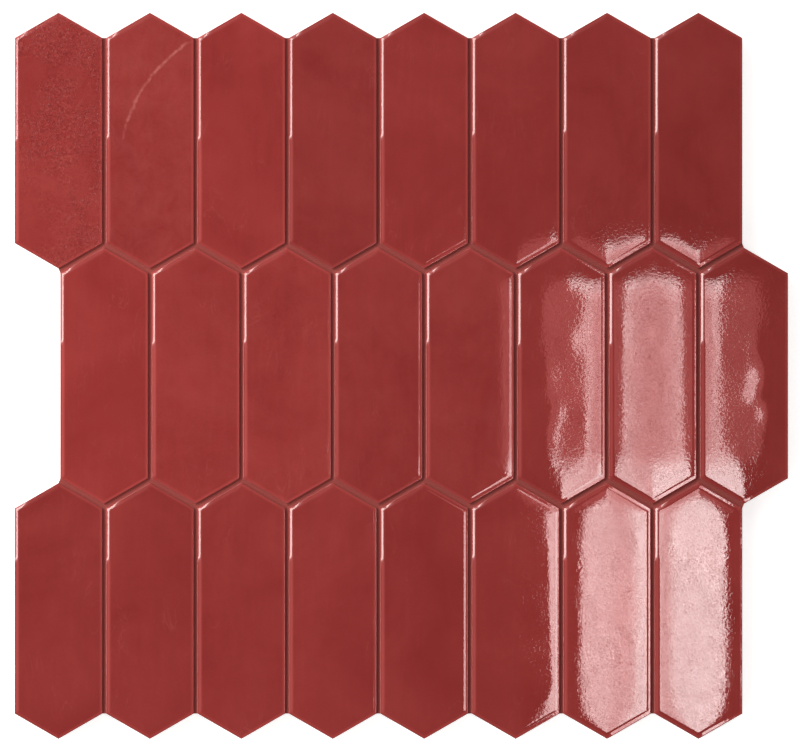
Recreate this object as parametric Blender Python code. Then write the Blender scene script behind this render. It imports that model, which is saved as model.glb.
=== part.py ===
"""A mosaic sheet: pointed glazed tiles in staggered rows, glued to a backing mesh, with filled joints.

The sheet lies flat with its glazed faces up. X runs along a row and Y across the rows. The origin
is on the floor, under the middle of the sheet.
"""

import math

import bmesh
import bpy

# Layout: the middle row is shifted half a tile along X
ROWS = 3
COLUMNS = 8

# One tile: a long hexagon with a point at each end
TILE_WIDTH = 0.0335
TILE_LENGTH = 0.0987
TILE_THICKNESS = 0.0080
POINT_SLOPE = math.radians(30.0)

# The glazed face falls away to the tile's sides along a narrow band, with a rounded outer rim
EDGE_WIDTH = 0.0015
EDGE_DROP = 0.0009
RIM_ROUND = 0.0004
RIM_SEGMENTS = 2

# The joints inside a row and between rows, and how far the filler lies below the tile faces
SIDE_JOINT = 0.0020
ROW_JOINT = 0.0025
JOINT_RECESS = 0.0019

# The net under the tiles, which ends a little inside the rim
MESH_THICKNESS = 0.0005
MESH_INSET = 0.0015

# Clearance between pieces that touch on the real sheet
FIT_GAP = 0.0003

# Finishes: linear colour and roughness
GLAZE_COLOUR = (0.305, 0.040, 0.037, 1.0)
GLAZE_ROUGHNESS = 0.12
FILLER_COLOUR = (0.235, 0.050, 0.042, 1.0)
FILLER_ROUGHNESS = 0.85
MESH_COLOUR = (0.78, 0.78, 0.74, 1.0)
MESH_ROUGHNESS = 0.70

# Lengths that follow from the ones above
HALF_WIDTH = TILE_WIDTH / 2
HALF_LENGTH = TILE_LENGTH / 2
COLUMN_PITCH = TILE_WIDTH + SIDE_JOINT
ROW_SHIFT = COLUMN_PITCH / 2
ROW_PITCH = TILE_LENGTH + ROW_JOINT / math.cos(POINT_SLOPE) - ROW_SHIFT * math.tan(POINT_SLOPE)
SHEET_WIDTH = COLUMNS * COLUMN_PITCH + ROW_SHIFT - SIDE_JOINT
TILE_BASE = MESH_THICKNESS + FIT_GAP
FILLER_HEIGHT = TILE_THICKNESS - JOINT_RECESS


def clear_scene():
    """Remove every object of the open scene."""
    for item in list(bpy.data.objects):
        bpy.data.objects.remove(item, do_unlink=True)


def new_collection(name):
    """Add a collection to the scene."""
    collection = bpy.data.collections.new(name)
    bpy.context.scene.collection.children.link(collection)
    return collection


def new_material(name, colour, roughness):
    """Make a plain Principled material."""
    material = bpy.data.materials.new(name)
    material.use_nodes = True
    shader = material.node_tree.nodes["Principled BSDF"]
    shader.inputs["Base Color"].default_value = colour
    shader.inputs["Roughness"].default_value = roughness
    return material


def tile_centre(row, column):
    """Place of a tile's centre in plan. Row 0 is the one with the largest Y."""
    first_x = HALF_WIDTH - SHEET_WIDTH / 2
    x = first_x + column * COLUMN_PITCH + (row % 2) * ROW_SHIFT
    y = ((ROWS - 1) / 2 - row) * ROW_PITCH
    return x, y


def shoulder_of(half_width, half_length):
    """Half the length of a hexagon's straight sides."""
    return half_length - half_width * math.tan(POINT_SLOPE)


def hexagon(half_width, half_length):
    """Corners of a long hexagon about the origin, anticlockwise from its lower point."""
    shoulder = shoulder_of(half_width, half_length)
    return [
        (0.0, -half_length),
        (half_width, -shoulder),
        (half_width, shoulder),
        (0.0, half_length),
        (-half_width, shoulder),
        (-half_width, -shoulder),
    ]


def slab(name, outline, thickness):
    """Mesh of a flat outline, from z = 0 up to its thickness."""
    curve = bpy.data.curves.new(name, "CURVE")
    curve.dimensions = "2D"
    curve.fill_mode = "BOTH"
    curve.extrude = thickness / 2
    spline = curve.splines.new("POLY")
    spline.points.add(len(outline) - 1)
    for point, (x, y) in zip(spline.points, outline):
        point.co = (x, y, 0.0, 1.0)
    spline.use_cyclic_u = True
    guide = bpy.data.objects.new(name, curve)
    bpy.context.scene.collection.objects.link(guide)
    evaluated = guide.evaluated_get(bpy.context.evaluated_depsgraph_get())
    mesh = bpy.data.meshes.new_from_object(evaluated)
    bpy.data.objects.remove(guide, do_unlink=True)
    bpy.data.curves.remove(curve)
    mesh.name = name
    solid = bmesh.new()
    solid.from_mesh(mesh)
    bmesh.ops.remove_doubles(solid, verts=solid.verts, dist=FIT_GAP / 10)
    bmesh.ops.translate(solid, verts=solid.verts, vec=(0.0, 0.0, thickness / 2))
    bmesh.ops.recalc_face_normals(solid, faces=solid.faces)
    solid.to_mesh(mesh)
    solid.free()
    return mesh


def block(name, grow, thickness):
    """Mesh of a tile's straight-sided block, grown by a margin on every side."""
    half_length = HALF_LENGTH + grow / math.cos(POINT_SLOPE)
    return slab(name, hexagon(HALF_WIDTH + grow, half_length), thickness)


def edge_steps():
    """The edge band's profile, as distance in from the side and fall below the face.

    It starts with the rounded rim, which leaves the side upright, and ends at the face.
    """
    band_tilt = math.atan2(EDGE_DROP, EDGE_WIDTH)
    rim_reach = RIM_ROUND * (1 - math.sin(band_tilt))
    centre_fall = EDGE_DROP * (1 - rim_reach / EDGE_WIDTH) + RIM_ROUND * math.cos(band_tilt)
    steps = []
    for step in range(RIM_SEGMENTS + 1):
        tilt = math.pi / 2 - (math.pi / 2 - band_tilt) * step / RIM_SEGMENTS
        steps.append((RIM_ROUND * (1 - math.sin(tilt)), centre_fall - RIM_ROUND * math.cos(tilt)))
    steps.append((EDGE_WIDTH, 0.0))
    return steps


def shape_face(mesh):
    """Inset a block's top face along the edge band's profile, and lower each rim by its fall."""
    solid = bmesh.new()
    solid.from_mesh(mesh)
    bmesh.ops.dissolve_faces(solid, faces=[face for face in solid.faces if face.normal.z > 0.5])
    top = [face for face in solid.faces if face.normal.z > 0.5]
    steps = edge_steps()
    rims = []
    for (outer, _), (inner, _) in zip(steps, steps[1:]):
        ring = bmesh.ops.inset_region(solid, faces=top, thickness=inner - outer, use_even_offset=True)
        ring_verts = {vert for face in ring["faces"] for vert in face.verts}
        rims.append(ring_verts.difference(top[0].verts))
    for (_, fall), rim in zip(steps, rims):
        for vert in rim:
            vert.co.z -= fall
    bmesh.ops.recalc_face_normals(solid, faces=solid.faces)
    solid.to_mesh(mesh)
    solid.free()


def make_tiles(parts, material):
    """The tiles: one shared shape, placed row by row."""
    mesh = block("tile", 0.0, TILE_THICKNESS)
    shape_face(mesh)
    mesh.materials.append(material)
    for row in range(ROWS):
        for column in range(COLUMNS):
            tile = bpy.data.objects.new(f"tile_row{row + 1}_{column + 1}", mesh)
            x, y = tile_centre(row, column)
            tile.location = (x, y, TILE_BASE)
            parts.objects.link(tile)


def side_outline(side, inset):
    """Corners of the sheet's rim down one side (-1 left, 1 right), moved in by an inset.

    Between two rows the rim passes the point of the end tile that stands further out.
    """
    end_column = 0 if side < 0 else COLUMNS - 1
    shoulder = shoulder_of(HALF_WIDTH, HALF_LENGTH) - inset
    corners = []
    for row in range(ROWS):
        x, y = tile_centre(row, end_column)
        edge_x = x + side * (HALF_WIDTH - inset)
        corners.append((edge_x, y + shoulder))
        corners.append((edge_x, y - shoulder))
        if row + 1 < ROWS:
            next_x, next_y = tile_centre(row + 1, end_column)
            if side * x > side * next_x:
                corners.append((x, y - HALF_LENGTH + inset))
            else:
                corners.append((next_x, next_y + HALF_LENGTH - inset))
    return corners


def sheet_outline(inset):
    """The sheet's stepped rim, cut straight across at the shoulders of the first and last rows."""
    return side_outline(-1, inset) + side_outline(1, inset)[::-1]


def make_filler(parts, cutters, material):
    """The joint filler: the sheet's outline less a clearance hole for each tile."""
    blank = slab("joint_filler", sheet_outline(0.0), FILLER_HEIGHT)
    blank.materials.append(material)
    filler = bpy.data.objects.new("joint_filler", blank)
    filler.location = (0.0, 0.0, TILE_BASE)
    parts.objects.link(filler)
    cutter_mesh = block("tile_hole", FIT_GAP, 2 * FILLER_HEIGHT)
    for row in range(ROWS):
        for column in range(COLUMNS):
            cutter = bpy.data.objects.new(f"hole_row{row + 1}_{column + 1}", cutter_mesh)
            x, y = tile_centre(row, column)
            cutter.location = (x, y, TILE_BASE - FILLER_HEIGHT / 2)
            cutter.hide_render = True
            cutter.display_type = "WIRE"
            cutters.objects.link(cutter)
    cut = filler.modifiers.new("tile_holes", "BOOLEAN")
    cut.operation = "DIFFERENCE"
    cut.solver = "EXACT"
    cut.operand_type = "COLLECTION"
    cut.collection = cutters


def make_backing(parts, material):
    """The backing mesh: one thin sheet under the tiles and the filler."""
    sheet = slab("backing_mesh", sheet_outline(MESH_INSET), MESH_THICKNESS)
    sheet.materials.append(material)
    backing = bpy.data.objects.new("backing_mesh", sheet)
    parts.objects.link(backing)


def main():
    """Model the sheet."""
    clear_scene()
    parts = new_collection("mosaic_tile_sheet")
    cutters = new_collection("cutters")
    make_tiles(parts, new_material("tile_glaze", GLAZE_COLOUR, GLAZE_ROUGHNESS))
    make_filler(parts, cutters, new_material("joint_filler", FILLER_COLOUR, FILLER_ROUGHNESS))
    make_backing(parts, new_material("backing_mesh", MESH_COLOUR, MESH_ROUGHNESS))


main()
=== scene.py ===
"""Looks for the mosaic tile sheet: glazed picket tiles, joint filler, and the net glued under them."""

import math
import random
from functools import partial
from types import SimpleNamespace

import bmesh
import bpy
from bpy.props import FloatProperty, FloatVectorProperty, IntProperty, PointerProperty
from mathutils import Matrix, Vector, noise


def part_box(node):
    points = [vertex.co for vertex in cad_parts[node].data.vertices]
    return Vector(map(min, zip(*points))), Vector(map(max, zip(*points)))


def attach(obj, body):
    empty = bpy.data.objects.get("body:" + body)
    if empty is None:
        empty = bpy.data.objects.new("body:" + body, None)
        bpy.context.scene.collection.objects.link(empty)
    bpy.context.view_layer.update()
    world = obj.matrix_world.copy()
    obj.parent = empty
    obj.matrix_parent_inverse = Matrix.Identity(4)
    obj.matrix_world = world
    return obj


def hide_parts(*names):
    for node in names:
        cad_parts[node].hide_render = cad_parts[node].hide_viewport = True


bl_info = {
    "name": "Mosaic Tile Sheet",
    "version": (1, 0, 0),
    "blender": (4, 5, 0),
    "location": "3D View > Sidebar > Mosaic Sheet",
    "description": "Builds the glazed tiles, the joints and the backing net of a mosaic sheet",
    "category": "Add Mesh",
}

ROWS = 3
COLUMNS = 8
TILES = [(row, column) for row in range(ROWS) for column in range(COLUMNS)]

# Low swells in the glaze of three tiles, by (row, column) from 0, in millimetres from the tile's middle:
# (x, y, reach across, reach along, height)
SWELLS = {
    (1, 5): (
        (-5.2, -24.0, 3.0, 7.0, 0.066),
        (-2.2, -14.0, 2.8, 3.6, 0.038),
        (10.5, -20.0, 3.5, 9.0, 0.020),
        (2.2, 14.0, 3.2, 4.0, 0.030),
        (-5.2, 0.5, 2.6, 5.0, 0.043),
        (-7.0, 25.0, 3.6, 7.5, 0.034),
        (0.5, 37.0, 3.4, 4.0, 0.030),
    ),
    (1, 6): (
        (0.0, 28.0, 15.0, 20.0, 0.030),
        (-4.0, -8.0, 7.0, 16.0, 0.006),
        (0.0, -4.0, 16.0, 60.0, -0.010),
    ),
    (1, 7): (
        (7.9, -1.0, 3.6, 4.6, 0.118),
        (4.8, -8.0, 3.0, 3.2, 0.060),
        (9.4, -14.5, 2.6, 4.2, 0.088),
        (7.0, -26.0, 3.2, 6.0, 0.048),
        (4.4, 11.0, 2.8, 4.5, 0.040),
        (-9.0, 9.0, 3.0, 4.0, 0.020),
        (-2.0, -33.0, 3.0, 5.0, 0.024),
    ),
}
# How far some tiles lean down to the right, in radians
LEANING_TILES = {(2, 5): -0.0028}
# Tiles from a paler or a darker firing, as a share of the tone
SHIFTED_TILES = {(0, 1): -0.03, (0, 2): 0.04, (0, 3): -0.10, (0, 7): -0.05, (1, 3): -0.04, (2, 0): -0.05}
# Tiles whose glaze has a stronger orange peel, and the strength on the others
PEELED_TILES = {(1, 5): 0.45, (1, 7): 0.45}
PLAIN_PEEL = 0.2
# Tiles whose glaze boiled, by how much of the face has crowded pits, and that share on the others
PITTED_TILES = {(0, 0): 1.0, (0, 1): 0.25, (1, 2): 0.25, (1, 1): 0.2}
PLAIN_PITTING = 0.04
# Tiles whose glaze is more mottled, and the range on the others
MOTTLED_TILES = {(0, 0): 1.2, (0, 1): 2.0, (0, 3): 1.0, (1, 1): 1.1, (1, 2): 1.2, (1, 3): 1.1, (1, 4): 1.2}
PLAIN_MOTTLING = (0.4, 0.7)
# Where the full roll of the glaze on the left side ends, row by row, in metres from a tile's middle
ROLL_ENDS = (0.0010, 0.0128, 0.0199)
# The tile with a pale hairline across it: an arc, given from the tile's middle, and its wobble, in metres
HAIRLINE_TILE = (0, 1)
HAIRLINE_CENTRE = (0.0435, -0.0090)
HAIRLINE_RADIUS = 0.0547
HAIRLINE_WOBBLE = 0.0030

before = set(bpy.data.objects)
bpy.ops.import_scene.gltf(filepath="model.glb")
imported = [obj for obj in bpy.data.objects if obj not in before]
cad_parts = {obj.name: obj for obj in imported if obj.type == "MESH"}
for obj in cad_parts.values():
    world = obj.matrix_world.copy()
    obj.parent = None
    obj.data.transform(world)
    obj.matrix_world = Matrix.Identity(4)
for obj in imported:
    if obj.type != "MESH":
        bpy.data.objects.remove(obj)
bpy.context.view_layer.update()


def tile_node(row, column):
    """Name of a tile's node. Row 0 is the one with the largest Y."""
    return f"tile_row{row + 1}_{column + 1}"


def tile_place(row, column):
    """Centre of a tile in plan."""
    low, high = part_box(tile_node(row, column))
    return Vector(((low.x + high.x) / 2, (low.y + high.y) / 2))


FIRST_LOW, FIRST_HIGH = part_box(tile_node(0, 0))
TILE_WIDTH = FIRST_HIGH.x - FIRST_LOW.x
TILE_LENGTH = FIRST_HIGH.y - FIRST_LOW.y
TILE_BACK = FIRST_LOW.z
TILE_FACE = FIRST_HIGH.z
FILLER_LOW, FILLER_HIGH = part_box("joint_filler")
NET_LOW, NET_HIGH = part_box("backing_mesh")
POINT_SLOPE = math.radians(30.0)
LARGEST_TILT = math.radians(0.05)
# The glaze stands this far out from the pressed body, which the solid has
GLAZE_SKIN = 0.0003
HALF_WIDTH = (TILE_WIDTH + 2 * GLAZE_SKIN) / 2
HALF_LENGTH = (TILE_LENGTH + 2 * GLAZE_SKIN / math.cos(POINT_SLOPE)) / 2
# Half the length of a tile's straight sides
SHOULDER = HALF_LENGTH - HALF_WIDTH * math.tan(POINT_SLOPE)

# Grid of a tile's face: fine steps near the edge, where the glaze turns, and coarse ones further in
FINE_STEP = 0.00012
COARSE_STEP = 0.00085
FINE_REACH = 0.0024
# The glaze's edge. Where it has pulled back, the face turns down some way in from the arris, further in
# beside a slanted edge, by twice the drop, and on the left side it falls in a step
EDGE_SOFTNESS = 0.0003
TURN_DEPTH = 0.0012
TURN_SLANT = 0.0005
TURN_DROP = 0.000013
STEP_DROP = 0.00024
STEP_REACH = 0.0021
# Where a face begins to fall towards its points, from its middle, and the length that it falls over
END_START = 0.031
END_REACH = 0.018
# Rounding where the band turns a corner, and the width over which a tile's left side turns into its right
CORNER_SOFTNESS = 0.0006
LEFT_TO_RIGHT = 0.004
# Rounded foot of a tile's sides, and the shallow recess of its back with low ribs across it
FOOT = 0.0003
RECESS_INSET = 0.0022
RECESS_SLOPE = 0.0004
RECESS_DEPTH = 0.00035
RIBS = 11
RIB_END_GAP = 0.0040
RIB_SECTION = ((-0.0014, 0.00045), (-0.0009, 0.0001), (0.0009, 0.0001), (0.0014, 0.00045))
# Places across a joint, from one tile at -1 to the other at 1, and how far the filler tucks under the glaze
JOINT_SHARES = (-1.0, -0.9, -0.72, -0.45, -0.15, 0.15, 0.45, 0.72, 0.9, 1.0)
JOINT_TUCK = 0.0001
# The net's strands end this far inside the sheet's rim, and wander this far from a straight line
NET_INSET = 0.0017
STRAND_DRIFT = 0.0002
# Dabs of adhesive: their places along a tile, as shares of half its length, and the sides of their outline
DAB_PLACES = (-0.52, 0.0, 0.52)
DAB_SIDES = 28

# The floor, the key softbox long and up on the left, a little towards the top of the sheet, and the
# softbox beside the camera, which the lower right tiles mirror
FLOOR_SIZE = (12.0, 12.0)
FLOOR_PLACE = (0.0, 0.0, -0.0002)
KEY_SIZE = (3.0, 0.72)
KEY_PLACE = (-2.14, 1.01, 1.85)
KEY_COLOUR = (1.0, 0.93, 0.90)
FACE_BOX_SIZE = (0.126, 0.2655)
FACE_BOX_PLACE = (0.1198, -0.0717, 0.9)
CAMERA_X = -0.0005
CAMERA_Y = 0.0003

# The inputs of a Noise and of a Map Range node, in the order in which their numbers are given
NOISE = ("Scale", "Detail", "Roughness", "Distortion")
RANGE = ("From Min", "From Max", "To Min", "To Max")


def linear(colour):
    """Linear colour of an sRGB hex value such as 9A3A37."""
    channels = [int(colour[i:i + 2], 16) / 255 for i in (0, 2, 4)]
    return [c / 12.92 if c <= 0.04045 else ((c + 0.055) / 1.055) ** 2.4 for c in channels] + [1.0]


def smooth_step(value):
    """A smooth change from 0 to 1 as the value does."""
    value = min(1.0, max(0.0, value))
    return value * value * (3 - 2 * value)


def painted_light_falloff(x, y):
    """How light the glaze and the filler are painted in plan, as painted shade where the light falls off:
    darker to the right, and most of all higher up.
    """
    up = smooth_step((y + 0.091) / 0.091)
    return 0.90 + 0.13 * up - (0.56 + 0.68 * up) * (x + 0.133)


def colour_property(name, description, colour):
    """A colour setting whose default is an sRGB hex value."""
    return FloatVectorProperty(
        name=name, description=description, subtype="COLOR", size=4, min=0.0, max=1.0, default=linear(colour)
    )


def length_property(name, description, millimetres):
    """A length setting whose default is given in millimetres."""
    return FloatProperty(
        name=name, description=description, unit="LENGTH", subtype="DISTANCE", default=millimetres / 1000
    )


class MOSAIC_PG_tiles(bpy.types.PropertyGroup):
    """Settings of the glazed tiles."""

    band: length_property("Edge band", "Width of the sloped band around the glazed face", 1.45)
    rim: length_property("Rim radius", "Radius of the rounded outer rim", 0.22)
    crown: length_property("Edge fall", "How far the glaze thins towards the band", 0.03)
    crown_reach: length_property("Edge fall reach", "How far in the thinning reaches", 2.0)
    pillow: length_property("Pillow", "Fall of the face from its middle line to its long sides", 0.052)
    end_fall: length_property("End fall", "How far the face falls towards its two points", 0.066)
    wave: length_property("Wave height", "Height of the slow waves of the glaze", 0.011)
    wave_length: length_property("Wave length", "Length of the slow waves of the glaze", 15.0)
    tilt: FloatProperty(
        name="Tilt", description="Largest tilt of a tile in its bed", subtype="ANGLE", default=LARGEST_TILT
    )
    seed: IntProperty(name="Seed", description="Seed of the tiles' differences", default=7)
    glaze: colour_property("Glaze", "Main colour of the glaze", "9C3B38")
    glaze_deep: colour_property("Deep glaze", "Colour where the glaze lies thick", "8E302E")
    # Paints the paler edge bands: glaze break, and painted light on the left-hand bands
    thin_glaze_and_painted_light: colour_property("Thin glaze", "Colour where the glaze breaks over an edge", "B64D49")
    glaze_pale: colour_property("Pale glaze", "Colour of the glaze's veins and mottling", "BA6660")
    body: colour_property("Body", "Colour of the fired body under the glaze", "CDBFAE")


class MOSAIC_PG_joints(bpy.types.PropertyGroup):
    """Settings of the joint filler."""

    rise: length_property("Rise", "How far the filler stands above its solid", 0.6)
    meniscus: length_property("Meniscus", "How far the filler climbs the tile sides", 0.12)
    step: length_property("Step", "Length of one step of the filler's surface", 1.5)
    colour: colour_property("Filler", "Colour of the filler", "AD4F48")
    colour_dark: colour_property("Dark filler", "Colour of the filler's darker grains", "96433D")


class MOSAIC_PG_net(bpy.types.PropertyGroup):
    """Settings of the backing net and its adhesive."""

    cell: length_property("Cell", "Distance from one strand to the next", 5.0)
    weft: length_property("Weft width", "Width of a flat weft strand", 1.1)
    warp: length_property("Warp width", "Width of each of the two yarns of a warp strand", 0.55)
    thickness: length_property("Strand thickness", "Thickness of a strand", 0.18)
    colour: colour_property("Net", "Colour of the coated glass strands", "E6E4DC")
    adhesive: colour_property("Adhesive", "Colour of the dried adhesive", "E9E2CF")


class MOSAIC_PG_stage(bpy.types.PropertyGroup):
    """Settings of the floor, the lights and the camera."""

    camera_height: FloatProperty(
        name="Camera height", description="Height above the tile faces", unit="LENGTH", default=4.0
    )
    frame_width: FloatProperty(
        name="Frame width", description="Width of the view at the tile faces", unit="LENGTH", default=0.3106
    )
    key_power: FloatProperty(name="Key power", description="Power of the key softbox", default=70.0)
    face_light: FloatProperty(name="Face box", description="Brightness of the mirrored softbox", default=1.3)
    room: FloatProperty(name="Room", description="Brightness of the pale wall on the left", default=1.5)
    floor: colour_property("Floor", "Colour of the floor", "EDEDED")


def add_node(tree, kind, values=None):
    """Add a node with its settings and links.

    Keys name a property or an input, or number an input. A value that is an output is linked, and so
    is one that is a node, which stands for the first output that it uses.
    """
    node = tree.nodes.new("ShaderNode" + kind)
    for key, value in (values or {}).items():
        if isinstance(value, bpy.types.Node):
            value = next(output for output in value.outputs if output.enabled)
        if isinstance(value, bpy.types.NodeSocket):
            tree.links.new(value, node.inputs[key])
        elif isinstance(key, int) or key in node.inputs:
            node.inputs[key].default_value = value
        else:
            setattr(node, key, value)
    return node


def new_material(name):
    """A material without nodes, and the function that adds a node to it."""
    material = bpy.data.materials.new(name)
    material.use_nodes = True
    material.node_tree.nodes.clear()
    return material, partial(add_node, material.node_tree)


def glazed_stoneware(settings):
    """Pressed stoneware under a brick-red gloss glaze.

    The glaze gives deep colour with slow clouds, faint pale veins and pinholes, a wet shine broken
    by orange peel, and paler edge bands where it breaks over them, with painted light on the left-hand
    bands. Painted shade darkens it to the right and upward, and in the pits. It ends in a ragged line on
    the sides, where the dry body shows.
    """
    material, node = new_material("glazed_stoneware")
    place = node("TexCoord").outputs["Object"]
    axes = node("SeparateXYZ", {0: place}).outputs
    # What a tile's mesh says of it
    told = {}
    for name in ("tile_tone", "edge_break", "pitting", "mottling", "peel", "hairline"):
        told[name] = node("Attribute", {"attribute_name": name}).outputs["Fac"]
    # Each tile was glazed by itself, so the pattern starts somewhere else on each
    glazed = node("Attribute", {"attribute_name": "glaze_place"}).outputs["Vector"]
    brushed, run_down, laid = [
        node("Mapping", {"Scale": scale, 0: glazed})
        for scale in ((1.0, 0.13, 1.0), (1.0, 0.35, 1.0), (0.85, 1.0, 1.0))
    ]

    # Each pattern's place, its noise, and the range of the noise that counts
    noises = {}
    shares = {}
    for name, spread, look, reach in (
        # Slow clouds of thick and thin glaze, about 45 mm and 12 mm across
        ("clouds", glazed, (22.0, 3.0, 0.6, 0.8), (0.3, 0.7, 0.0, 1.0)),
        # Faint brush of the glaze along the tile, about 3 mm wide and 25 mm long
        ("brush", brushed, (300.0, 3.0, 0.5, 0.8), (0.25, 0.75, 0.965, 1.035)),
        # Fine grain of the pigment, drawn about 1 mm across, coarser than the real one, so that it shows
        ("grain", glazed, (1000.0, 2.0), (0.25, 0.75, 0.97, 1.03)),
        # Drift of the veins from side to side, and the patches of about 15 mm where they show
        ("drift", run_down, (110.0, 4.0, 0.5, 1.2), None),
        ("vein_patches", glazed, (60.0, 1.0), (0.48, 0.66, 0.0, 0.16)),
        # Mottling: pale haze in flakes from 8 mm down to 0.5 mm
        ("haze", glazed, (120.0, 5.0, 0.78, 0.4), (0.35, 0.75, 0.0, 0.09)),
        # Pits where the glaze boiled, about 0.6 mm across, and the patches that are crowded with them
        ("pits", glazed, (1000.0, 1.0, 0.5, 0.8), (0.50, 0.63, 0.0, 1.0)),
        ("boiled", glazed, (45.0, 3.0, 0.5, 0.6), (0.36, 0.56, 0.0, told["pitting"])),
        # Wobble of the hairline, and the gaps in it
        ("wobble", glazed, (160.0, 5.0, 0.65), None),
        ("gaps", glazed, (420.0, 3.0), (0.36, 0.62, 0.25, 1.0)),
        # The ragged end of the glaze, in steps of about 2 mm, and the grain of the body below it
        ("ragged", glazed, (420.0, 3.0), None),
        ("body_grain", glazed, (2600.0, 3.0), (0.2, 0.8, 0.86, 1.06)),
        # Fine ripples left in the gloss, about 1 mm across, which break up what it mirrors
        ("ripples", laid, (1050.0, 1.0, 0.5, 0.4), None),
        # Orange peel: shallow dimples about 1.3 mm across
        ("dimples", glazed, (750.0, 1.0), None),
    ):
        noises[name] = node("TexNoise", dict(zip(NOISE, look)) | {0: spread})
        if reach:
            shares[name] = node("MapRange", dict(zip(RANGE, reach)) | {"Value": noises[name]})

    # Veins: thin pale lines where the drift crosses its middle
    off_line = node("Math", {"operation": "SUBTRACT", 0: noises["drift"], 1: 0.5})
    off_line = node("Math", {"operation": "ABSOLUTE", 0: off_line})
    vein = node("MapRange", {"From Min": 0.012, "From Max": 0.002, "Value": off_line})
    # Pits are darkened in colour, as painted shade in their hollows, and pale specks lie among some of them
    hole = node("Math", {"operation": "MULTIPLY", 0: shares["pits"], 1: shares["boiled"]})
    hole_shade = node("Math", {"operation": "MULTIPLY_ADD", 0: hole, 1: -0.22, 2: 1.0})
    pale_specks = node("MapRange", {"From Min": 0.42, "From Max": 0.32, "To Max": 0.30, "Value": noises["pits"]})
    # One long pale hairline, a crack that healed in the kiln. It comes and goes along its length
    tile = tile_place(*HAIRLINE_TILE)
    centre = (tile.x + HAIRLINE_CENTRE[0], tile.y + HAIRLINE_CENTRE[1], 0.0)
    flat = node("VectorMath", {"operation": "MULTIPLY", 0: place, 1: (1.0, 1.0, 0.0)})
    away = node("VectorMath", {"operation": "DISTANCE", 0: flat, 1: centre})
    strayed = node("Math", {"operation": "MULTIPLY_ADD", 0: noises["wobble"], 1: HAIRLINE_WOBBLE, 2: away})
    off_arc = node("Math", {"operation": "SUBTRACT", 0: strayed, 1: HAIRLINE_RADIUS + HAIRLINE_WOBBLE / 2})
    off_arc = node("Math", {"operation": "ABSOLUTE", 0: off_arc})
    arc = node("MapRange", {"From Min": 0.00095, "From Max": 0.00015, "Value": off_arc})
    fade = {"From Min": tile.y - 0.004, "From Max": tile.y + 0.010}
    upper_part = node("MapRange", fade | {"Value": axes["Y"]})

    # The palest mark wins, each as strong as the product of its parts
    pale = None
    for parts in (
        (arc, shares["gaps"], upper_part, told["hairline"]),
        (vein, shares["vein_patches"]),
        (shares["haze"], told["mottling"]),
        (pale_specks, shares["boiled"]),
    ):
        mark = parts[0]
        for part in parts[1:]:
            mark = node("Math", {"operation": "MULTIPLY", 0: mark, 1: part})
        pale = node("Math", {"operation": "MAXIMUM", 0: pale, 1: mark}) if pale else mark
    # The tone is partly painted shade, darker to the right and upward
    shade = told["tile_tone"]
    for part in (shares["brush"], shares["grain"], hole_shade):
        shade = node("Math", {"operation": "MULTIPLY", 0: shade, 1: part})

    mixed = {"data_type": "RGBA", 6: settings.glaze_deep, 7: settings.glaze}
    colour = node("Mix", mixed | {0: shares["clouds"]})
    # Pale marks, then the paler edge bands: glaze break, with painted light on the left-hand bands
    for share, over in ((pale, settings.glaze_pale), (told["edge_break"], settings.thin_glaze_and_painted_light)):
        colour = node("Mix", {"data_type": "RGBA", 0: share, 6: colour, 7: over})
    toned = node("HueSaturation", {"Value": shade, "Color": colour})
    # The glaze ends 3 mm down the sides, give or take 1 mm
    lowest = TILE_FACE - 0.0054
    end_height = node("Math", {"operation": "MULTIPLY_ADD", 0: noises["ragged"], 1: 0.0040, 2: lowest})
    below = node("Math", {"operation": "SUBTRACT", 0: end_height, 1: axes["Z"]})
    bare = node("MapRange", {"From Min": -0.0001, "From Max": 0.0001, "Value": below})
    body = node("HueSaturation", {"Color": settings.body, "Value": shares["body_grain"]})
    colour = node("Mix", {"data_type": "RGBA", 0: bare, 6: toned, 7: body})
    rough = node("MapRange", {"To Min": 0.018, "To Max": 0.85, "Value": bare})

    bump = node("Bump", {"Distance": 0.0000045, "Height": noises["ripples"]})
    peel = {"Distance": 0.000008, "Strength": told["peel"], "Height": noises["dimples"]}
    bump = node("Bump", peel | {"Normal": bump})
    bump = node("Bump", {"Distance": -0.00003, "Height": hole, "Normal": bump})
    shader = node("BsdfPrincipled", {"IOR": 1.58, "Base Color": colour, "Roughness": rough, "Normal": bump})
    node("OutputMaterial", {"Surface": shader})
    return material


def relief(node, look, depth):
    """A noise all over an object, and the bump that it gives."""
    place = node("TexCoord").outputs["Object"]
    grain = node("TexNoise", dict(zip(NOISE, look)) | {0: place})
    return grain, node("Bump", {"Distance": depth, "Height": grain})


def joint_compound(settings):
    """Flexible joint compound, struck off and sponged: matt, with fine sand showing."""
    material, node = new_material("flexible_joint_compound")
    # Sand grains of about 0.4 mm
    sand, bump = relief(node, (2400.0, 2.0), 0.00006)
    sand_share = node("MapRange", {"From Min": 0.3, "From Max": 0.7, "Value": sand})
    colour = node("Mix", {"data_type": "RGBA", 0: sand_share, 6: settings.colour_dark, 7: settings.colour})
    # Painted shade: the filler is darker to the right and upward, where the light falls off
    tone = node("Attribute", {"attribute_name": "tile_tone"}).outputs["Fac"]
    toned = node("HueSaturation", {"Value": tone, "Color": colour})
    shader = node("BsdfPrincipled", {"Roughness": 0.85, "IOR": 1.45, "Base Color": toned, "Normal": bump})
    node("OutputMaterial", {"Surface": shader})
    return material


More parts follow.
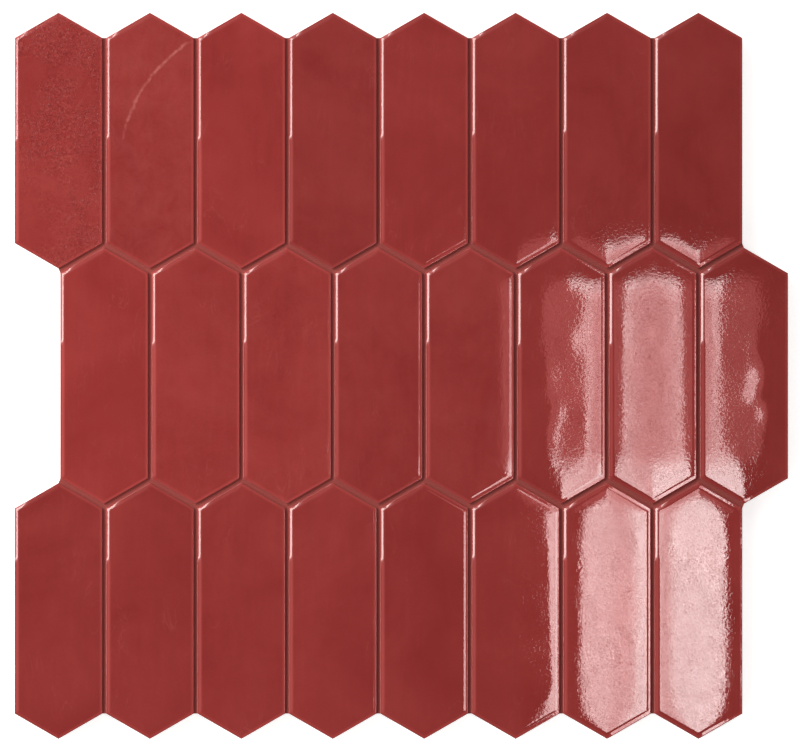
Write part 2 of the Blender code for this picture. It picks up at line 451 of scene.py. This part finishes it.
def glass_fibre_net(settings):
    """Coated glass-fibre yarn, woven: near white, with a dull resin sheen and fine lines along the yarn."""
    material, node = new_material("woven_glass_fibre")
    # Filaments are drawn about 0.15 mm wide, far coarser than the real ones, so that they show
    fibres, bump = relief(node, (5500.0, 2.0), 0.00004)
    shade = node("MapRange", dict(zip(RANGE, (0.3, 0.7, 0.88, 1.04))) | {"Value": fibres})
    colour = node("HueSaturation", {"Color": settings.colour, "Value": shade})
    shader = node("BsdfPrincipled", {"Roughness": 0.55, "IOR": 1.5, "Base Color": colour, "Normal": bump})
    node("OutputMaterial", {"Surface": shader})
    return material


def dried_adhesive(settings):
    """Dried dispersion adhesive, pressed on as dabs: cloudy cream, with a slight skin gloss."""
    material, node = new_material("dried_dispersion_adhesive")
    # Wrinkles of the skin, about 1.5 mm
    bump = relief(node, (700.0, 3.0), 0.00012)[1]
    look = {"Base Color": settings.adhesive, "Roughness": 0.38, "IOR": 1.47}
    look |= {"Subsurface Weight": 0.25, "Subsurface Scale": 0.001}
    shader = node("BsdfPrincipled", look | {"Normal": bump})
    node("OutputMaterial", {"Surface": shader})
    return material


def mark_points(mesh, name, values):
    """Give every point of a mesh a value that its material reads."""
    mesh.attributes.new(name, "FLOAT", "POINT").data.foreach_set("value", values)


def smooth_mesh(mesh, crease):
    """Shade a mesh smooth, but sharp along its creases of more than so many degrees."""
    mesh.shade_smooth()
    mesh.set_sharp_from_angle(angle=math.radians(crease))
    return mesh


def finished_mesh(name, shape):
    """The mesh of a bmesh, with its faces turned outwards."""
    bmesh.ops.recalc_face_normals(shape, faces=shape.faces)
    mesh = bpy.data.meshes.new(name)
    shape.to_mesh(mesh)
    shape.free()
    return mesh


def add_piece(mesh, material, replaced):
    """Put a finished mesh on the part, in place of the solids it stands for."""
    mesh.materials.append(material)
    piece = bpy.data.objects.new(mesh.name, mesh)
    bpy.context.scene.collection.objects.link(piece)
    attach(piece, "root")
    if replaced:
        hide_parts(*replaced)
    return piece


def soft_min(a, b, softness):
    """The smaller of two lengths, with the change from one to the other rounded off."""
    blend = max(softness - abs(a - b), 0.0) / softness
    return min(a, b) - blend * blend * softness / 4


def soft_ramp(value, softness):
    """The value where it is positive and 0 elsewhere, with the corner between rounded off."""
    if value <= -softness:
        return 0.0
    if value >= softness:
        return value
    return (value + softness) ** 2 / (4 * softness)


def edge_stations(half):
    """Distances in from an edge to the middle: fine steps first, and then even coarse ones."""
    fine_count = max(1, round(FINE_REACH / FINE_STEP))
    coarse_count = max(1, round((half - FINE_REACH) / COARSE_STEP))
    near = [FINE_REACH * i / fine_count for i in range(fine_count)]
    far = [FINE_REACH + (half - FINE_REACH) * i / coarse_count for i in range(coarse_count + 1)]
    return near + far


def side_and_slant(x, y):
    """Distances in from a tile's straight side and from its slanted edge, for a point in the tile."""
    side = HALF_WIDTH - abs(x)
    slant = (HALF_LENGTH - abs(y)) * math.cos(POINT_SLOPE) - abs(x) * math.sin(POINT_SLOPE)
    return side, slant


def rolled_share(x, y, roll_end):
    """How full the glaze has rolled over the edge band, from 0 to 1, at a point of the tile.

    It is full on the upper part of the left side and a little way round the corner above it.
    """
    side, slant = side_and_slant(x, y)
    if x > 0:
        return 0.0
    if slant < side:
        along = (x + HALF_WIDTH) / math.cos(POINT_SLOPE)
        return smooth_step((0.0060 - along) / 0.0030) if y > 0 else 0.0
    return smooth_step((y - roll_end) / 0.002 + 0.5)


def edge_fall(band, depth, full, left, near_slant):
    """Fall of the glaze at a depth inside the tile's outline, in metres.

    Where the glaze has rolled full the band is steep. Where it has pulled back the face turns down
    a little near the arris and runs level again to a low bead, and on the left side it falls in a
    soft step.
    """
    share = soft_ramp(band - depth, EDGE_SOFTNESS) / band
    rolled = band * (0.43 * share + 0.13 * share * share)
    turn = TURN_DEPTH + TURN_SLANT * near_slant
    pulled = TURN_DROP * (1 - math.erf((depth - turn) / EDGE_SOFTNESS))
    stepped = STEP_DROP * smooth_step(1 - depth / STEP_REACH)
    return rolled * full + (pulled * (1 - left) + stepped * left) * (1 - full)


def fired_tile(row, column, settings):
    """What sets one tile apart: its bed, its glaze and its faults, drawn from a seed of its own."""
    rng = random.Random(settings.seed * 1000 + row * COLUMNS + column)
    key = (row, column)
    tile = SimpleNamespace(place=tile_place(row, column), swells=SWELLS.get(key, ()))
    tile.offset = Vector([rng.uniform(0, 2) for axis in range(3)])
    tile.wave_seed = Vector([rng.uniform(0, 50) for axis in range(3)])
    tile.swell_top = max([swell[4] / 1000 for swell in tile.swells], default=0.0)
    tile.tilt_x = rng.uniform(-settings.tilt, settings.tilt) + LEANING_TILES.get(key, 0.0)
    tile.tilt_y = rng.uniform(-settings.tilt, settings.tilt)
    tile.roll_end = ROLL_ENDS[row] + rng.uniform(-0.0007, 0.0007)
    if row == 0:
        tile.roll_end += 0.0006 * max(0, column - 3)
    # The tone is painted shade where the light falls off over the sheet, with a small random difference
    # between tiles
    tone = painted_light_falloff(tile.place.x, tile.place.y) + rng.uniform(-0.02, 0.02)
    tile.marks = {
        "tile_tone": tone * (1 + SHIFTED_TILES.get(key, 0.0)),
        "pitting": PITTED_TILES.get(key, PLAIN_PITTING),
        "mottling": MOTTLED_TILES.get(key, rng.uniform(*PLAIN_MOTTLING)),
        "peel": PEELED_TILES.get(key, PLAIN_PEEL),
        "hairline": 1.0 if key == HAIRLINE_TILE else 0.0,
    }
    return tile


def glaze_at(x, y, tile, settings):
    """How far the face has fallen at a point of a tile, and how pale its edge band is there: glaze break,
    and painted light on the left-hand bands.
    """
    band = settings.band
    rim = settings.rim
    side, slant = side_and_slant(x, y)
    depth = max(0.0, soft_min(side, slant, CORNER_SOFTNESS))
    full = rolled_share(x, y, tile.roll_end)
    left = smooth_step(0.5 - x / LEFT_TO_RIGHT)
    near_slant = smooth_step((side - slant) / 0.001 + 0.5)
    fall = edge_fall(band, depth, full, left, near_slant)
    if depth < rim:
        fall += rim - math.sqrt(max(0.0, rim * rim - (rim - depth) ** 2))
    fall += settings.crown * math.exp(-max(0.0, depth - band) / settings.crown_reach)
    fall += settings.pillow * (x / HALF_WIDTH) ** 2
    fall += settings.end_fall * (max(0.0, abs(y) + 0.4 * abs(x) - END_START) / END_REACH) ** 2
    spot = Vector((x / settings.wave_length, y / settings.wave_length, 0.0)) + tile.wave_seed
    wave = noise.noise(spot) + 0.5 * noise.noise(spot * 2.3)
    fall += settings.wave * (0.5 + 0.5 * wave) * min(1.0, depth / band)
    fall += tile.swell_top
    for swell_x, swell_y, across_reach, along_reach, height in tile.swells:
        off_x = (x * 1000 - swell_x) / across_reach
        off_y = (y * 1000 - swell_y) / along_reach
        fall -= height / 1000 * math.exp(-(off_x * off_x + off_y * off_y) / 2)
    fall += tile.tilt_x * x + tile.tilt_y * y

    # The edge band's paling: partly the glaze breaking paler over every edge, partly painted light, stronger
    # and wider on the left-hand bands that face the key lamp
    reach = band + 0.0006 * left * (1 - near_slant) * (1 - full)
    thin = smooth_step(1.6 * (1 - depth / reach))
    palest_share = 0.42 + 0.28 * left * max(full, 1 - near_slant)
    palest_share *= 1 - 0.6 * left * (1 - full) * smooth_step(1.3 - depth / 0.0008)
    return max(0.0, fall), palest_share * thin


def face_columns():
    """The grid of a tile's face in plan, from its middle: columns of points from left to right."""
    across = edge_stations(HALF_WIDTH)
    along = edge_stations(HALF_LENGTH)
    fine_slots = round(FINE_REACH / FINE_STEP)
    fine_end = FINE_REACH / math.cos(POINT_SLOPE)
    columns = []
    for x in [-HALF_WIDTH + d for d in across] + [HALF_WIDTH - d for d in reversed(across[:-1])]:
        top = HALF_LENGTH - abs(x) * math.tan(POINT_SLOPE)
        upper = []
        for k, d in enumerate(along):
            if k <= fine_slots:
                upper.append(top - d / math.cos(POINT_SLOPE))
            else:
                share = (d - along[fine_slots]) / (along[-1] - along[fine_slots])
                upper.append((top - fine_end) * (1 - share))
        columns.append([(x, y) for y in [-y for y in upper] + upper[-2::-1]])
    return columns


def add_sides(coords, faces, rim_loop, place):
    """Rings down a tile's sides, round the foot and into the shallow recess of the back."""
    levels = (
        (TILE_FACE - 0.0018, 0.0),
        (TILE_FACE - 0.0040, 0.0),
        (TILE_BACK + FOOT, 0.0),
        (TILE_BACK, FOOT),
        (TILE_BACK, RECESS_INSET),
        (TILE_BACK + RECESS_DEPTH, RECESS_INSET + RECESS_SLOPE),
    )
    count = len(rim_loop)
    upper_loop = rim_loop
    for level, inset in levels:
        lower_loop = []
        for vertex in rim_loop:
            x = (coords[vertex][0] - place.x) * (1 - inset / HALF_WIDTH)
            y = (coords[vertex][1] - place.y) * (1 - inset / HALF_LENGTH)
            lower_loop.append(len(coords))
            coords.append((place.x + x, place.y + y, level))
        for k in range(count):
            after = (k + 1) % count
            faces.append((upper_loop[after], upper_loop[k], lower_loop[k], lower_loop[after]))
        upper_loop = lower_loop
    faces.append(tuple(upper_loop))


def add_ribs(coords, faces, place):
    """Low ribs across the recess of a tile's back, pressed with the body."""
    half = HALF_WIDTH - RIB_END_GAP
    middle = (RIBS - 1) // 2
    for k in range(RIBS):
        y = (k - middle) / middle * (SHOULDER - 0.002)
        first = len(coords)
        for x in (-half, half):
            for dy, dz in RIB_SECTION:
                coords.append((place.x + x, place.y + y + dy, TILE_BACK + dz))
        faces.append((first, first + 1, first + 2, first + 3))
        faces.append((first + 7, first + 6, first + 5, first + 4))
        for m in range(4):
            n = (m + 1) % 4
            faces.append((first + m, first + 4 + m, first + 4 + n, first + n))


def make_tile_mesh(name, row, column, settings):
    """One glazed tile: a pillowed, wavy face, an edge band with a rounded rim, sides and a ribbed back."""
    tile = fired_tile(row, column, settings)
    place = tile.place
    coords = []
    breaks = []
    grid = face_columns()
    for points in grid:
        for x, y in points:
            fall, pale_share = glaze_at(x, y, tile, settings)
            coords.append((place.x + x, place.y + y, TILE_FACE - fall))
            breaks.append(pale_share)
    columns = len(grid)
    lines = len(grid[0])

    def index(i, j):
        return i * lines + j

    faces = []
    for i in range(columns - 1):
        for j in range(lines - 1):
            faces.append((index(i, j), index(i + 1, j), index(i + 1, j + 1), index(i, j + 1)))
    rim_loop = [index(i, 0) for i in range(columns)]
    rim_loop += [index(columns - 1, j) for j in range(1, lines)]
    rim_loop += [index(i, lines - 1) for i in range(columns - 2, -1, -1)]
    rim_loop += [index(0, j) for j in range(lines - 2, 0, -1)]
    add_sides(coords, faces, rim_loop, place)
    add_ribs(coords, faces, place)

    mesh = bpy.data.meshes.new(name)
    mesh.from_pydata(coords, [], faces)
    for mark, value in tile.marks.items():
        mark_points(mesh, mark, [value] * len(coords))
    # The edge bands' paling, partly glaze break and partly painted light on the left-hand bands
    mark_points(mesh, "edge_break", breaks + [0.0] * (len(coords) - len(breaks)))
    glazed = []
    for x, y, z in coords:
        glazed += [x - place.x + tile.offset.x, y - place.y + tile.offset.y, z + tile.offset.z]
    mesh.attributes.new("glaze_place", "FLOAT_VECTOR", "POINT").data.foreach_set("vector", glazed)
    return smooth_mesh(mesh, 50.0)


class MOSAIC_OT_tiles(bpy.types.Operator):
    """Make the glazed tiles"""

    bl_idname = "mosaic.tiles"
    bl_label = "Glazed Tiles"

    def execute(self, context):
        settings = context.scene.mosaic_tiles
        material = glazed_stoneware(settings)
        for row, column in TILES:
            mesh = make_tile_mesh(f"glazed_tile_{row + 1}_{column + 1}", row, column, settings)
            add_piece(mesh, material, [tile_node(row, column)])
        return {"FINISHED"}


def joint_edges():
    """Every joint as the facing edges of two tiles: (start, end) on the one, (start, end) on the other."""
    places = [tile_place(*tile) for tile in TILES]
    pitch = tile_place(0, 1).x - tile_place(0, 0).x
    row_pitch = tile_place(0, 0).y - tile_place(1, 0).y
    # The way to each neighbour, and the corners of the edge that faces it
    kinds = (
        (Vector((pitch, 0.0)), ((HALF_WIDTH, SHOULDER), (HALF_WIDTH, -SHOULDER))),
        (Vector((pitch / 2, -row_pitch)), ((HALF_WIDTH, -SHOULDER), (0.0, -HALF_LENGTH))),
        (Vector((-pitch / 2, -row_pitch)), ((0.0, -HALF_LENGTH), (-HALF_WIDTH, -SHOULDER))),
    )
    joints = []
    for place in places:
        for offset, edge in kinds:
            neighbour = next((p for p in places if (place + offset - p).length < 0.002), None)
            if neighbour is None:
                continue
            near = [place + Vector(corner) for corner in edge]
            far = [neighbour - Vector(corner) for corner in reversed(edge)]
            joints.append((near, far))
    return joints


def tile_corners():
    """The six corners of every tile in plan."""
    upper = (Vector((0.0, HALF_LENGTH)), Vector((HALF_WIDTH, SHOULDER)), Vector((-HALF_WIDTH, SHOULDER)))
    return [tile_place(*tile) + sign * corner for tile in TILES for sign in (-1, 1) for corner in upper]


def filler_row(a, b, centre, pull, settings):
    """Points across a joint from a to b, drawn towards a centre. The filler's surface is hollow between."""
    row = []
    for share in JOINT_SHARES:
        point = a.lerp(b, (share + 1) / 2).lerp(centre, pull)
        rest = abs(share * (1 - pull))
        ripple = 0.00005 * noise.noise(Vector((point.x / 0.004, point.y / 0.004, 3.0)))
        height = FILLER_HIGH.z + settings.rise + settings.meniscus * rest ** 3 + ripple * (1 - rest)
        row.append((point.x, point.y, height))
    return row


def close_block(web, top_rows):
    """Skin a grid of top points and its flat underside as one closed block."""
    top = [[web.verts.new(point) for point in row] for row in top_rows]
    low = [[web.verts.new((point[0], point[1], FILLER_LOW.z)) for point in row] for row in top_rows]
    for before, after in zip(top, top[1:]):
        for j in range(len(before) - 1):
            web.faces.new((before[j], before[j + 1], after[j + 1], after[j]))
    rim_top, rim_low = [
        grid[0] + [row[-1] for row in grid[1:]] + grid[-1][-2::-1] + [row[0] for row in grid[-2:0:-1]]
        for grid in (top, low)
    ]
    for k in range(len(rim_top)):
        after = (k + 1) % len(rim_top)
        web.faces.new((rim_top[k], rim_low[k], rim_low[after], rim_top[after]))
    web.faces.new(rim_low)
    for row in low[1:-1]:
        for vertex in row[1:-1]:
            web.verts.remove(vertex)


def make_filler_mesh(settings):
    """The web of filler: a strip with a hollow top in every joint, and a patch where three tiles meet."""
    corners = tile_corners()
    web = bmesh.new()
    for near, far in joint_edges():
        length = (near[1] - near[0]).length
        steps = max(2, round(length / settings.step))
        tuck = (far[0] - near[0]).normalized() * JOINT_TUCK
        rows = []
        for i in range(steps + 1):
            a = near[0].lerp(near[1], i / steps) - tuck
            b = far[0].lerp(far[1], i / steps) + tuck
            rows.append(filler_row(a, b, a, 0.0, settings))
        close_block(web, rows)
        # The patch from this strip's end to the middle of the junction, where three tiles meet
        for a, b in zip(near, far):
            middle = (a + b) / 2
            third = [
                c for c in corners
                if (c - middle).length < 0.0035 and (c - a).length > 0.0005 and (c - b).length > 0.0005
            ]
            if third:
                centre = (a + b + third[0]) / 3
                close_block(web, [filler_row(a, b, centre, i / 4 * 0.999, settings) for i in range(5)])
    mesh = finished_mesh("joint_compound", web)
    # The filler gets the same painted shade as the tiles, darker to the right and upward
    mark_points(mesh, "tile_tone", [painted_light_falloff(vertex.co.x, vertex.co.y) for vertex in mesh.vertices])
    return smooth_mesh(mesh, 40.0)


class MOSAIC_OT_joints(bpy.types.Operator):
    """Make the joint filler"""

    bl_idname = "mosaic.joints"
    bl_label = "Joint Filler"

    def execute(self, context):
        settings = context.scene.mosaic_joints
        add_piece(make_filler_mesh(settings), joint_compound(settings), ["joint_filler"])
        return {"FINISHED"}


def net_outline(inset):
    """Corners of the net's stepped outline, which follows the end tiles a little way in from their edges."""
    half_width = TILE_WIDTH / 2
    half_length = TILE_LENGTH / 2
    shoulder = half_length - half_width * math.tan(POINT_SLOPE) - inset
    rims = []
    for side, column in ((-1, 0), (1, COLUMNS - 1)):
        corners = []
        for row in range(ROWS):
            place = tile_place(row, column)
            edge = place.x + side * (half_width - inset)
            corners += [(edge, place.y + shoulder), (edge, place.y - shoulder)]
            if row + 1 == ROWS:
                continue
            after = tile_place(row + 1, column)
            if side * place.x > side * after.x:
                corners.append((place.x, place.y - half_length + inset))
            else:
                corners.append((after.x, after.y + half_length - inset))
        rims.append(corners)
    return rims[0] + rims[1][::-1]


def net_reaches(along_x, level, outline):
    """The stretches of a strand at one level that lie inside the outline, as (start, end)."""
    cuts = []
    for k, corner in enumerate(outline):
        after = outline[(k + 1) % len(outline)]
        a, b = (corner, after) if along_x else (corner[::-1], after[::-1])
        if (a[1] > level) != (b[1] > level):
            cuts.append(a[0] + (b[0] - a[0]) * (level - a[1]) / (b[1] - a[1]))
    cuts.sort()
    return list(zip(cuts[0::2], cuts[1::2]))


def add_loft(shape, rings):
    """A closed form through rings of points."""
    rings = [[shape.verts.new(point) for point in ring] for ring in rings]
    for before, after in zip(rings, rings[1:]):
        for k in range(len(before)):
            m = (k + 1) % len(before)
            shape.faces.new((before[k], before[m], after[m], after[k]))
    shape.faces.new(rings[0])
    shape.faces.new(rings[-1][::-1])


def add_strand(net, points, half_side, half_up):
    """A lens-shaped strand through its points, if there is room for one."""
    if len(points) > 1:
        add_loft(net, [(p + half_side, p + half_up, p - half_side, p - half_up) for p in points])


def make_net_mesh(settings):
    """The net: flat weft strands along the sheet, and pairs of finer warp yarns that cross them."""
    outline = net_outline(NET_INSET)
    net = bmesh.new()
    cell = settings.cell
    middle = (NET_LOW.z + NET_HIGH.z) / 2
    lift = (NET_HIGH.z - NET_LOW.z - settings.thickness) / 2
    half_up = Vector((0, 0, settings.thickness / 2))
    size = NET_HIGH - NET_LOW
    rows = int(size.y / cell)
    first_y = (NET_LOW.y + NET_HIGH.y) / 2 - rows * cell / 2
    columns = int(size.x / cell)
    first_x = (NET_LOW.x + NET_HIGH.x) / 2 - columns * cell / 2

    def half_cells(reach, start):
        """Numbers of the half cells that lie in a strand's reach, counted from the first strand."""
        return range(math.ceil((reach[0] - start) / cell * 2), math.floor((reach[1] - start) / cell * 2) + 1)

    for j in range(rows + 1):
        level = first_y + j * cell
        for reach in net_reaches(True, level, outline):
            points = []
            for i in half_cells(reach, first_x):
                drift = STRAND_DRIFT * noise.noise(Vector((i * 0.11, j * 3.7, 1.0)))
                points.append(Vector((first_x + i * cell / 2, level + drift, middle)))
            add_strand(net, points, Vector((0, settings.weft / 2, 0)), half_up)
    for i in range(columns + 1):
        level = first_x + i * cell
        for reach in net_reaches(False, level, outline):
            for turn in (-1, 1):
                points = []
                for j in half_cells(reach, first_y):
                    # The two yarns pass above and below each weft strand and change sides between
                    drift = STRAND_DRIFT * noise.noise(Vector((j * 0.11, i * 3.7, 8.0)))
                    phase = j / 2 * math.pi
                    x = level + drift + turn * settings.warp * 0.45 * math.cos(phase * 2)
                    z = middle + turn * lift * math.cos(phase)
                    points.append(Vector((x, first_y + j * cell / 2, z)))
                add_strand(net, points, Vector((settings.warp / 2, 0, 0)), half_up)
    return smooth_mesh(finished_mesh("glass_fibre_net", net), 60.0)


def make_dabs_mesh(seed):
    """Three pressed dabs of adhesive under each tile, which hold the net to it."""
    rng = random.Random(seed)
    dabs = bmesh.new()
    low = NET_LOW.z + 0.00012
    high = TILE_BACK + 0.0001
    levels = ((1.0, high), (1.0, (low + high) / 2), (0.93, low + 0.00010), (0.80, low), (0.35, low))
    for tile, share in [(tile, share) for tile in TILES for share in DAB_PLACES]:
        place = tile_place(*tile)
        x = place.x + rng.uniform(-0.001, 0.001)
        y = place.y + share * TILE_LENGTH / 2 + rng.uniform(-0.002, 0.002)
        long = rng.uniform(0.0085, 0.0105)
        wide = rng.uniform(0.0055, 0.0070)
        phase = rng.uniform(0, 50)
        rings = []
        for scale, z in levels:
            ring = []
            for k in range(DAB_SIDES):
                angle = 2 * math.pi * k / DAB_SIDES
                ragged = 1 + 0.16 * noise.noise(Vector((math.cos(angle), math.sin(angle), phase)))
                across = wide * scale * ragged * math.cos(angle)
                along = long * scale * ragged * math.sin(angle)
                ring.append((x + across, y + along, z))
            rings.append(ring)
        add_loft(dabs, rings)
    mesh = finished_mesh("adhesive_dabs", dabs)
    mesh.shade_smooth()
    return mesh


class MOSAIC_OT_net(bpy.types.Operator):
    """Make the woven net and the adhesive that holds it"""

    bl_idname = "mosaic.net"
    bl_label = "Backing Net"

    def execute(self, context):
        settings = context.scene.mosaic_net
        net = add_piece(make_net_mesh(settings), glass_fibre_net(settings), ["backing_mesh"])
        seed = context.scene.mosaic_tiles.seed
        dabs = add_piece(make_dabs_mesh(seed), dried_adhesive(settings), [])
        # The net is cut to the sheet and lies flat; its cloth is only its strands, so the area is theirs
        return {"FINISHED"}


def add_lamp(name, size, place, power, colour):
    """A rectangular softbox that looks at the middle of the sheet."""
    lamp = bpy.data.lights.new(name, "AREA")
    lamp.shape = "RECTANGLE"
    lamp.size, lamp.size_y = size
    lamp.energy = power
    lamp.color = colour
    item = bpy.data.objects.new(name, lamp)
    item.location = place
    item.rotation_euler = (-item.location).to_track_quat("-Z", "Y").to_euler()
    item.visible_camera = False
    bpy.context.scene.collection.objects.link(item)


def studio_floor(colour):
    """Pale floor paper. The camera sees it lifted to white, less the object's shadow."""
    material, node = new_material("floor_paper")
    rays = node("LightPath").outputs
    seen = rays["Is Camera Ray"]
    for ray in ("Is Glossy Ray", "Is Transmission Ray"):
        seen = node("Math", {"operation": "MAXIMUM", 0: seen, 1: rays[ray]})
    paper = node("BsdfDiffuse", {"Color": colour})
    glow = node("Emission", {"Strength": 0.68})
    lit = node("AddShader", {0: paper, 1: glow})
    mix = node("MixShader", {0: seen, 1: paper, 2: lit})
    node("OutputMaterial", {"Surface": mix})
    return material


def studio_world(brightness):
    """Soft room light: pale walls, paler on the left, and a dim ceiling. The camera sees white paper."""
    world = bpy.data.worlds.new("studio_room")
    world.use_nodes = True
    world.node_tree.nodes.clear()
    node = partial(add_node, world.node_tree)
    place = node("TexCoord").outputs["Generated"]
    axes = node("SeparateXYZ", {0: place}).outputs
    # The dim part of the ceiling lies off to the lower right
    leaned = node("VectorMath", {"operation": "DOT_PRODUCT", 0: place, 1: (0.30, -0.20, 1.0)})
    low_down, side = [
        node("MapRange", {"interpolation_type": "SMOOTHSTEP"} | dict(zip(RANGE, reach)) | {"Value": source})
        for source, reach in (
            (leaned, (0.95, 0.55, 0.0, 1.0)),
            (axes["X"], (0.6, -0.7, 0.45 * brightness, brightness)),
        )
    ]
    wall = node("MapRange", {"To Min": 0.04, "Value": low_down, "To Max": side})
    camera_ray = node("LightPath").outputs["Is Camera Ray"]
    seen = node("Mix", {0: camera_ray, 2: wall, 3: 1.0})
    background = node("Background", {"Color": (1.0, 1.0, 1.0, 1.0), "Strength": seen})
    node("OutputWorld", {"Surface": background})
    return world


def softbox_front(brightness):
    """Lit softbox cloth: a narrow bright field with dim sides above, two wide banks below."""
    material, node = new_material("softbox_front")
    place = node("TexCoord").outputs["Object"]
    axes = node("SeparateXYZ", {0: place}).outputs
    # The crumpled cloth: creases about 4 mm apart, which also fray the ends of the fields
    creases = node("TexNoise", {"Scale": 240.0, "Detail": 1.0, 0: place})
    frayed = node("Math", {"operation": "MULTIPLY_ADD", 0: creases, 1: 0.030, 2: axes["Y"]})
    off = node("Math", {"operation": "ABSOLUTE", 0: axes["X"]})
    # Soft changes across the cloth: where each begins and ends, in metres, and from what to what it goes
    ramps = {}
    for name, source, reach in (
        ("lower", frayed, (0.048, 0.036, 0.0, 1.0)),
        ("top", frayed, (0.1450, 0.1350, 0.0, 1.0)),
        ("top_rim", axes["Y"], (0.108, 0.128, 4.7, 8.5)),
        ("left_bank", axes["X"], (-0.010, -0.027, 6.3, 7.6)),
        ("right_bank", axes["X"], (-0.008, 0.005, 6.3, 9.0)),
        # The dim sides fade out at the panel's edges
        ("side_share", off, (0.0630, 0.0530, 0.0, 1.6)),
    ):
        look = {"interpolation_type": "SMOOTHSTEP"} | dict(zip(RANGE, reach))
        ramps[name] = node("MapRange", look | {"Value": source})
    lower = ramps["lower"]

    off_middle = node("Math", {"operation": "MULTIPLY", 0: axes["X"], 1: axes["X"]})
    upper_field = node("Math", {"operation": "MULTIPLY_ADD", 0: off_middle, 1: 4200.0, 2: ramps["top_rim"]})
    lower_field = node("Math", {"operation": "MAXIMUM", 0: ramps["left_bank"], 1: ramps["right_bank"]})
    field = node("Mix", {0: lower, 2: upper_field, 3: lower_field})
    # The bright part is 53 mm wide above and 88 mm below, with soft borders
    half = node("MapRange", {"To Min": 0.0263, "To Max": 0.0440, "Value": lower})
    beyond = node("Math", {"operation": "SUBTRACT", 0: off, 1: half})
    border = {"interpolation_type": "SMOOTHSTEP", "From Min": 0.0018, "From Max": -0.0018}
    bright = node("MapRange", border | {"Value": beyond})
    # The dim sides end where the lower banks begin
    above = node("Math", {"operation": "SUBTRACT", 0: 1.0, 1: lower})
    sides = node("Math", {"operation": "MULTIPLY", 0: ramps["side_share"], 1: above})
    shape = node("Mix", {0: bright, 2: sides, 3: field})
    depth = dict(zip(RANGE, (0.36, 0.64, 0.35 * brightness, 1.65 * brightness)))
    crease_share = node("MapRange", depth | {"Value": creases})
    share = node("Math", {"operation": "MULTIPLY", 0: crease_share, 1: ramps["top"]})
    strength = node("Math", {"operation": "MULTIPLY", 0: shape, 1: share})
    # The dimmer the cloth, the redder it is
    warmth = node("MapRange", {"From Min": 1.2, "From Max": 10.0, "Value": shape})
    mixed = {"data_type": "RGBA", 6: (1.0, 0.30, 0.29, 1.0), 7: (1.0, 0.91, 0.90, 1.0)}
    colour = node("Mix", mixed | {0: warmth})
    light = node("Emission", {"Color": colour, "Strength": strength})
    node("OutputMaterial", {"Surface": light})
    return material


def add_panel(name, size, place, material):
    """A flat rectangle that belongs to the stage."""
    mesh = bpy.data.meshes.new(name)
    corners = [(x * size[0] / 2, y * size[1] / 2, 0) for x, y in ((-1, -1), (1, -1), (1, 1), (-1, 1))]
    mesh.from_pydata(corners, [], [(0, 1, 2, 3)])
    mesh.materials.append(material)
    item = bpy.data.objects.new(name, mesh)
    item.location = place
    bpy.context.scene.collection.objects.link(item)
    return item


class MOSAIC_OT_stage(bpy.types.Operator):
    """Make the floor, the lights and the camera"""

    bl_idname = "mosaic.stage"
    bl_label = "Stage"

    def execute(self, context):
        settings = context.scene.mosaic_stage
        context.scene.view_settings.view_transform = "Standard"
        context.scene.world = studio_world(settings.room)
        add_panel("floor", FLOOR_SIZE, FLOOR_PLACE, studio_floor(settings.floor))
        add_lamp("key", KEY_SIZE, KEY_PLACE, settings.key_power, KEY_COLOUR)
        front = add_panel("face_box", FACE_BOX_SIZE, FACE_BOX_PLACE, softbox_front(settings.face_light))
        front.visible_camera = False

        camera = bpy.data.cameras.new("camera")
        camera.sensor_width = 36.0
        camera.lens = camera.sensor_width * settings.camera_height / settings.frame_width
        camera.clip_end = 30.0
        item = bpy.data.objects.new("camera", camera)
        item.location = (CAMERA_X, CAMERA_Y, TILE_FACE + settings.camera_height)
        context.scene.collection.objects.link(item)
        context.scene.camera = item
        return {"FINISHED"}


class MOSAIC_PT_panel(bpy.types.Panel):
    """Lists the steps that build the sheet"""

    bl_idname = "MOSAIC_PT_panel"
    bl_label = "Mosaic Sheet"
    bl_space_type = "VIEW_3D"
    bl_region_type = "UI"
    bl_category = "Mosaic Sheet"

    def draw(self, context):
        for operator in OPERATORS:
            self.layout.operator(operator.bl_idname)


GROUPS = {
    "mosaic_tiles": MOSAIC_PG_tiles,
    "mosaic_joints": MOSAIC_PG_joints,
    "mosaic_net": MOSAIC_PG_net,
    "mosaic_stage": MOSAIC_PG_stage,
}
OPERATORS = (MOSAIC_OT_tiles, MOSAIC_OT_joints, MOSAIC_OT_net, MOSAIC_OT_stage)


def register():
    for group in GROUPS.values():
        bpy.utils.register_class(group)
    for operator in OPERATORS:
        bpy.utils.register_class(operator)
    bpy.utils.register_class(MOSAIC_PT_panel)
    for name, group in GROUPS.items():
        setattr(bpy.types.Scene, name, PointerProperty(type=group))


def unregister():
    for name in GROUPS:
        delattr(bpy.types.Scene, name)
    bpy.utils.unregister_class(MOSAIC_PT_panel)
    for operator in reversed(OPERATORS):
        bpy.utils.unregister_class(operator)
    for group in reversed(list(GROUPS.values())):
        bpy.utils.unregister_class(group)


def main():
    """Build the whole scene."""
    register()
    bpy.ops.mosaic.tiles()
    bpy.ops.mosaic.joints()
    bpy.ops.mosaic.net()
    bpy.ops.mosaic.stage()


if __name__ == "__main__":
    main()
